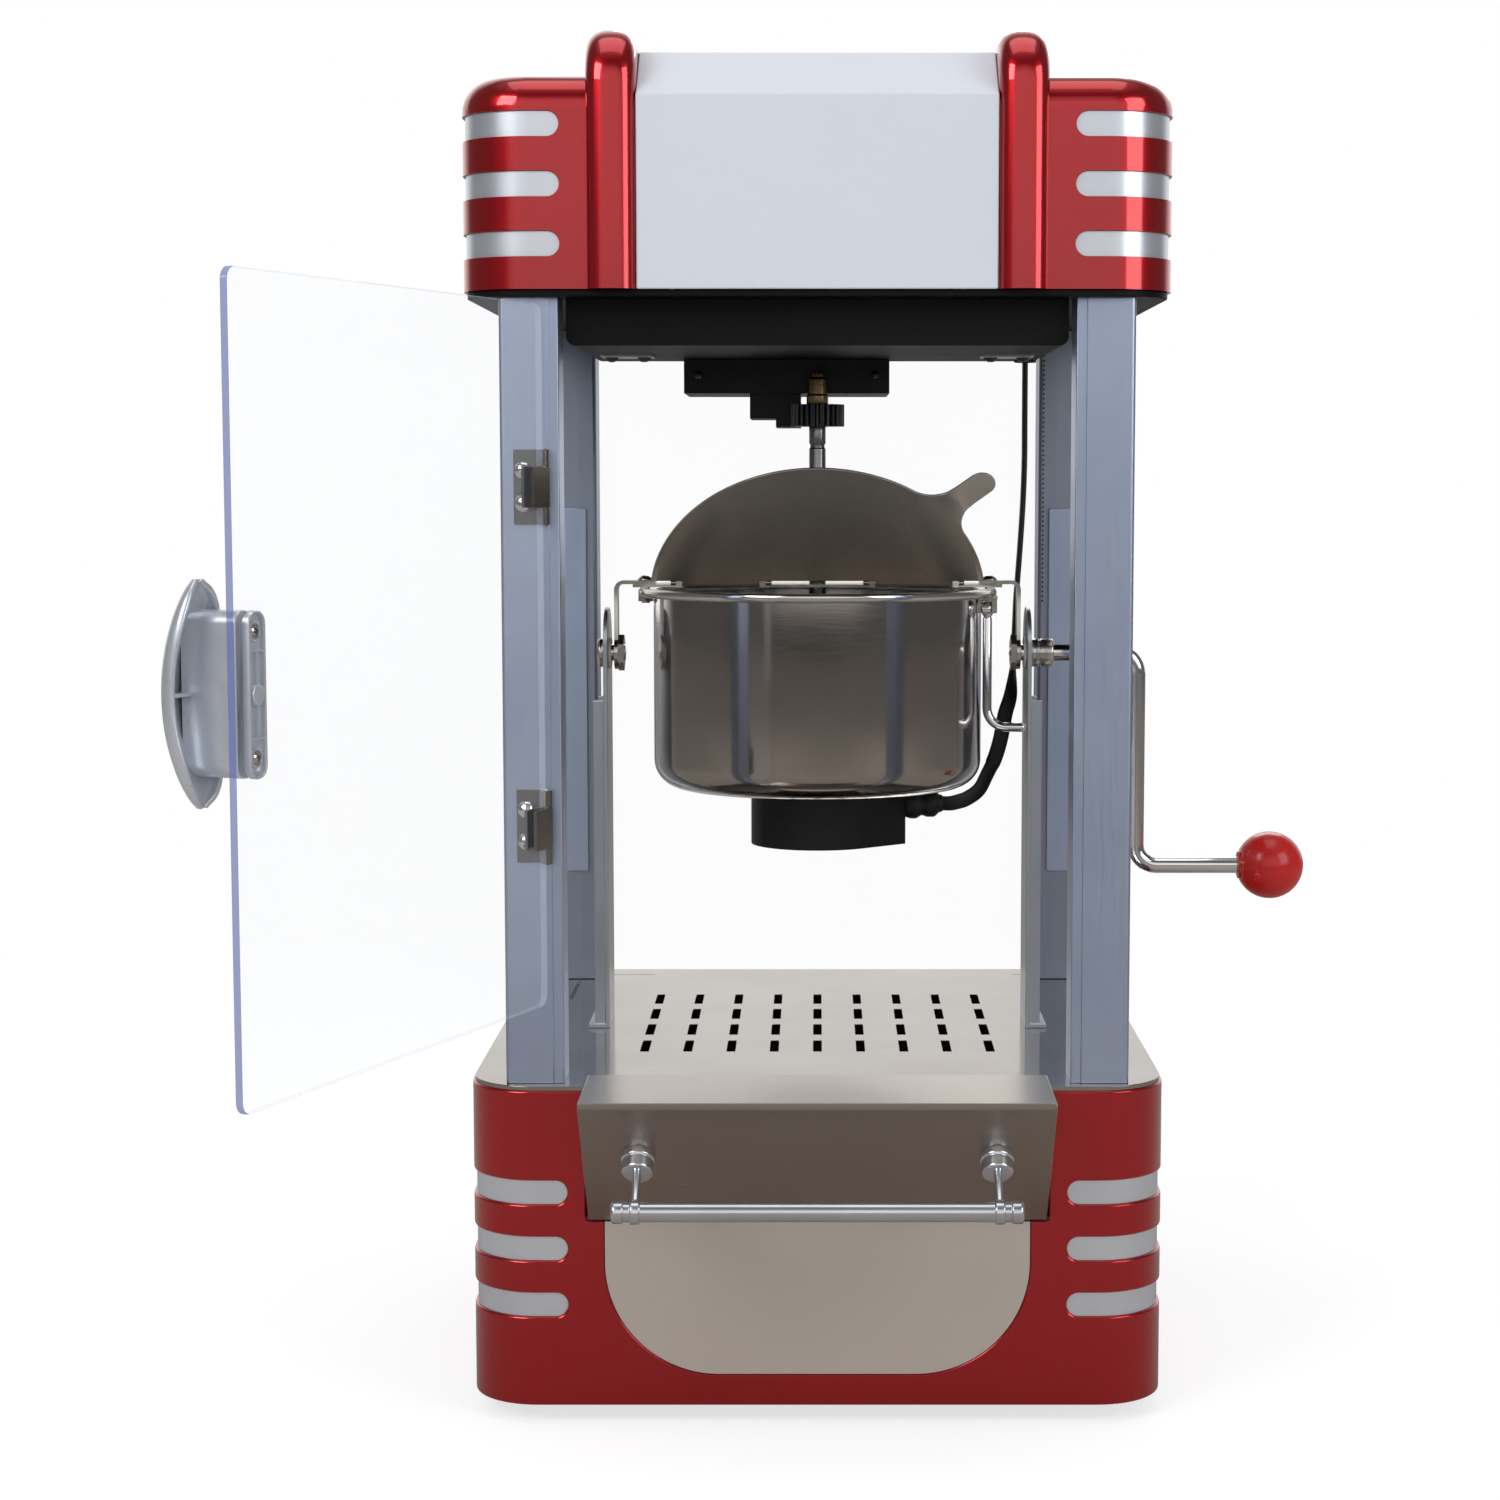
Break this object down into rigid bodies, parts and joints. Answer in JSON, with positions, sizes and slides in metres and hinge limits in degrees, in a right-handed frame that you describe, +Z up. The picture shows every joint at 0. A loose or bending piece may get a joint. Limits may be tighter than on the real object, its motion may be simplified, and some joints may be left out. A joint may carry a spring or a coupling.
{
  "type": "tabletop kettle popcorn maker",
  "caption": "Retro tabletop popcorn maker: tilting kettle with geared stirrer, hinged lids and hand crank, clear hinged door, kernel drawer, slotted head and base.",
  "frame": {"origin": "centre of the four feet, on the surface that it stands on", "axes": "+X towards the crank, -Y towards the door and the user, +Z up"},
  "size_m": [0.4705, 0.5322, 0.603],
  "materials": {
    "foot_rubber": "matt",
    "chassis_black": "satin black",
    "red_enamel": "gloss candy red",
    "silver_strip": "satin silver",
    "cream_enamel": "gloss",
    "stainless": "polished",
    "zinc_steel": "satin",
    "pillar_silver": "satin silver",
    "clear_pane": "clear",
    "clear_door": "clear acrylic",
    "nylon": "natural",
    "white_enamel": "gloss",
    "black_plastic": "fine grain",
    "motor_steel": "satin",
    "cord_rubber": "matt",
    "nickel_steel": "nickel plated",
    "gear_steel": "oiled",
    "red_plastic": "gloss",
    "silver_plastic": "satin silver",
    "chrome_rod": "polished",
    "housing_black": "satin black",
    "element_steel": "heat tinted",
    "ceramic": "glazed",
    "shaft_steel": "satin",
    "bronze": "oiled",
    "satin_aluminium": "satin"
  },
  "bodies": {
    "cabinet": {"rubber_feet": "foot_rubber", "base_pan": "chassis_black", "base_shell": "red_enamel", "base_slot_strips": "silver_strip", "base_front_panel": "cream_enamel", "deck_plate": "stainless", "drawer_runners": "zinc_steel", "front_pillars": "pillar_silver", "rear_pillars": "pillar_silver", "side_panes": "clear_pane", "rear_pane": "clear_pane", "pane_retainers": "pillar_silver", "kettle_supports": "zinc_steel", "pivot_bushes": "nylon", "head_chassis": "chassis_black", "head_ends": "red_enamel", "head_fins": "red_enamel", "head_slot_strips": "silver_strip", "head_cover": "white_enamel", "head_rear_panel": "chassis_black", "ceiling_pan": "chassis_black", "ceiling_clips": "zinc_steel", "drive_case": "black_plastic", "gear_motor": "motor_steel", "cord_grommet": "cord_rubber", "mains_gland": "black_plastic", "switch_bezels": "black_plastic", "hinge_leaves": "nickel_steel", "hinge_pins": "nickel_steel"},
    "pinion": {"motor_pinion": "gear_steel"},
    "heat_switch": {"heat_rocker": "red_plastic"},
    "motor_switch": {"motor_rocker": "red_plastic"},
    "door": {"door_panel": "clear_door", "door_hinge_clips": "nickel_steel", "door_grip": "silver_plastic", "door_back_plate": "silver_plastic", "door_screws": "nickel_steel"},
    "kettle": {"kettle_pot": "stainless", "kettle_rim": "stainless", "yoke_straps": "nickel_steel", "yoke_fasteners": "nickel_steel", "pivot_hardware": "nickel_steel", "crank_rod": "chrome_rod", "crank_knob": "red_plastic", "heater_housing": "housing_black", "heating_element": "element_steel", "thermostat": "ceramic", "strain_relief": "cord_rubber", "kettle_cord": "cord_rubber", "lid_crossbar": "nickel_steel", "lift_handle_lug": "nickel_steel"},
    "lift_bail": {"lift_handle": "chrome_rod"},
    "agitator": {"agitator_shaft": "shaft_steel", "agitator_gear": "gear_steel", "bronze_sleeve": "bronze", "stir_arm": "shaft_steel"},
    "front_cover": {"front_lid": "stainless"},
    "rear_cover": {"rear_lid": "stainless"},
    "drawer": {"kernel_drawer": "stainless", "drawer_bar": "satin_aluminium"}
  },
  "joints": [
    {"name": "door_swing", "type": "hinge", "parent": "cabinet", "child": "door", "pos_m": [-0.1167, -0.148, 0.3365], "axis": [0, 0, 1], "range_deg": [-30, 112]},
    {"name": "kettle_tilt", "type": "hinge", "parent": "cabinet", "child": "kettle", "pos_m": [0, 0, 0.33], "axis": [1, 0, 0], "range_deg": [0, 100], "deforming": ["kettle_cord"]},
    {"name": "agitator_spin", "type": "hinge", "parent": "kettle", "child": "agitator", "pos_m": [0, 0, 0.35], "axis": [0, 0, 1], "continuous": true},
    {"name": "motor_spin", "type": "hinge", "parent": "cabinet", "child": "pinion", "pos_m": [0, 0.018, 0.443], "axis": [0, 0, 1], "continuous": true},
    {"name": "front_lid_hinge", "type": "hinge", "parent": "kettle", "child": "front_cover", "pos_m": [0, -0.008, 0.3638], "axis": [1, 0, 0], "range_deg": [-25, 50]},
    {"name": "rear_lid_hinge", "type": "hinge", "parent": "kettle", "child": "rear_cover", "pos_m": [0, 0.008, 0.3638], "axis": [1, 0, 0], "range_deg": [0, 25]},
    {"name": "lift_handle_swing", "type": "hinge", "parent": "kettle", "child": "lift_bail", "pos_m": [0.08052, -0.02008, 0.3519], "axis": [0.9703, -0.2419, 0], "range_deg": [-90, 4]},
    {"name": "drawer_slide", "type": "slide", "parent": "cabinet", "child": "drawer", "axis": [0, -1, 0], "range_m": [0, 0.11]},
    {"name": "heat_rocker_press", "type": "hinge", "parent": "cabinet", "child": "heat_switch", "pos_m": [-0.034, 0.15, 0.541], "axis": [1, 0, 0], "range_deg": [-16, 0]},
    {"name": "motor_rocker_press", "type": "hinge", "parent": "cabinet", "child": "motor_switch", "pos_m": [0.034, 0.15, 0.541], "axis": [1, 0, 0], "range_deg": [-16, 0]}
  ],
  "couplings": [
    {"joint": "motor_spin", "follows": "agitator_spin", "ratio": -2}
  ]
}
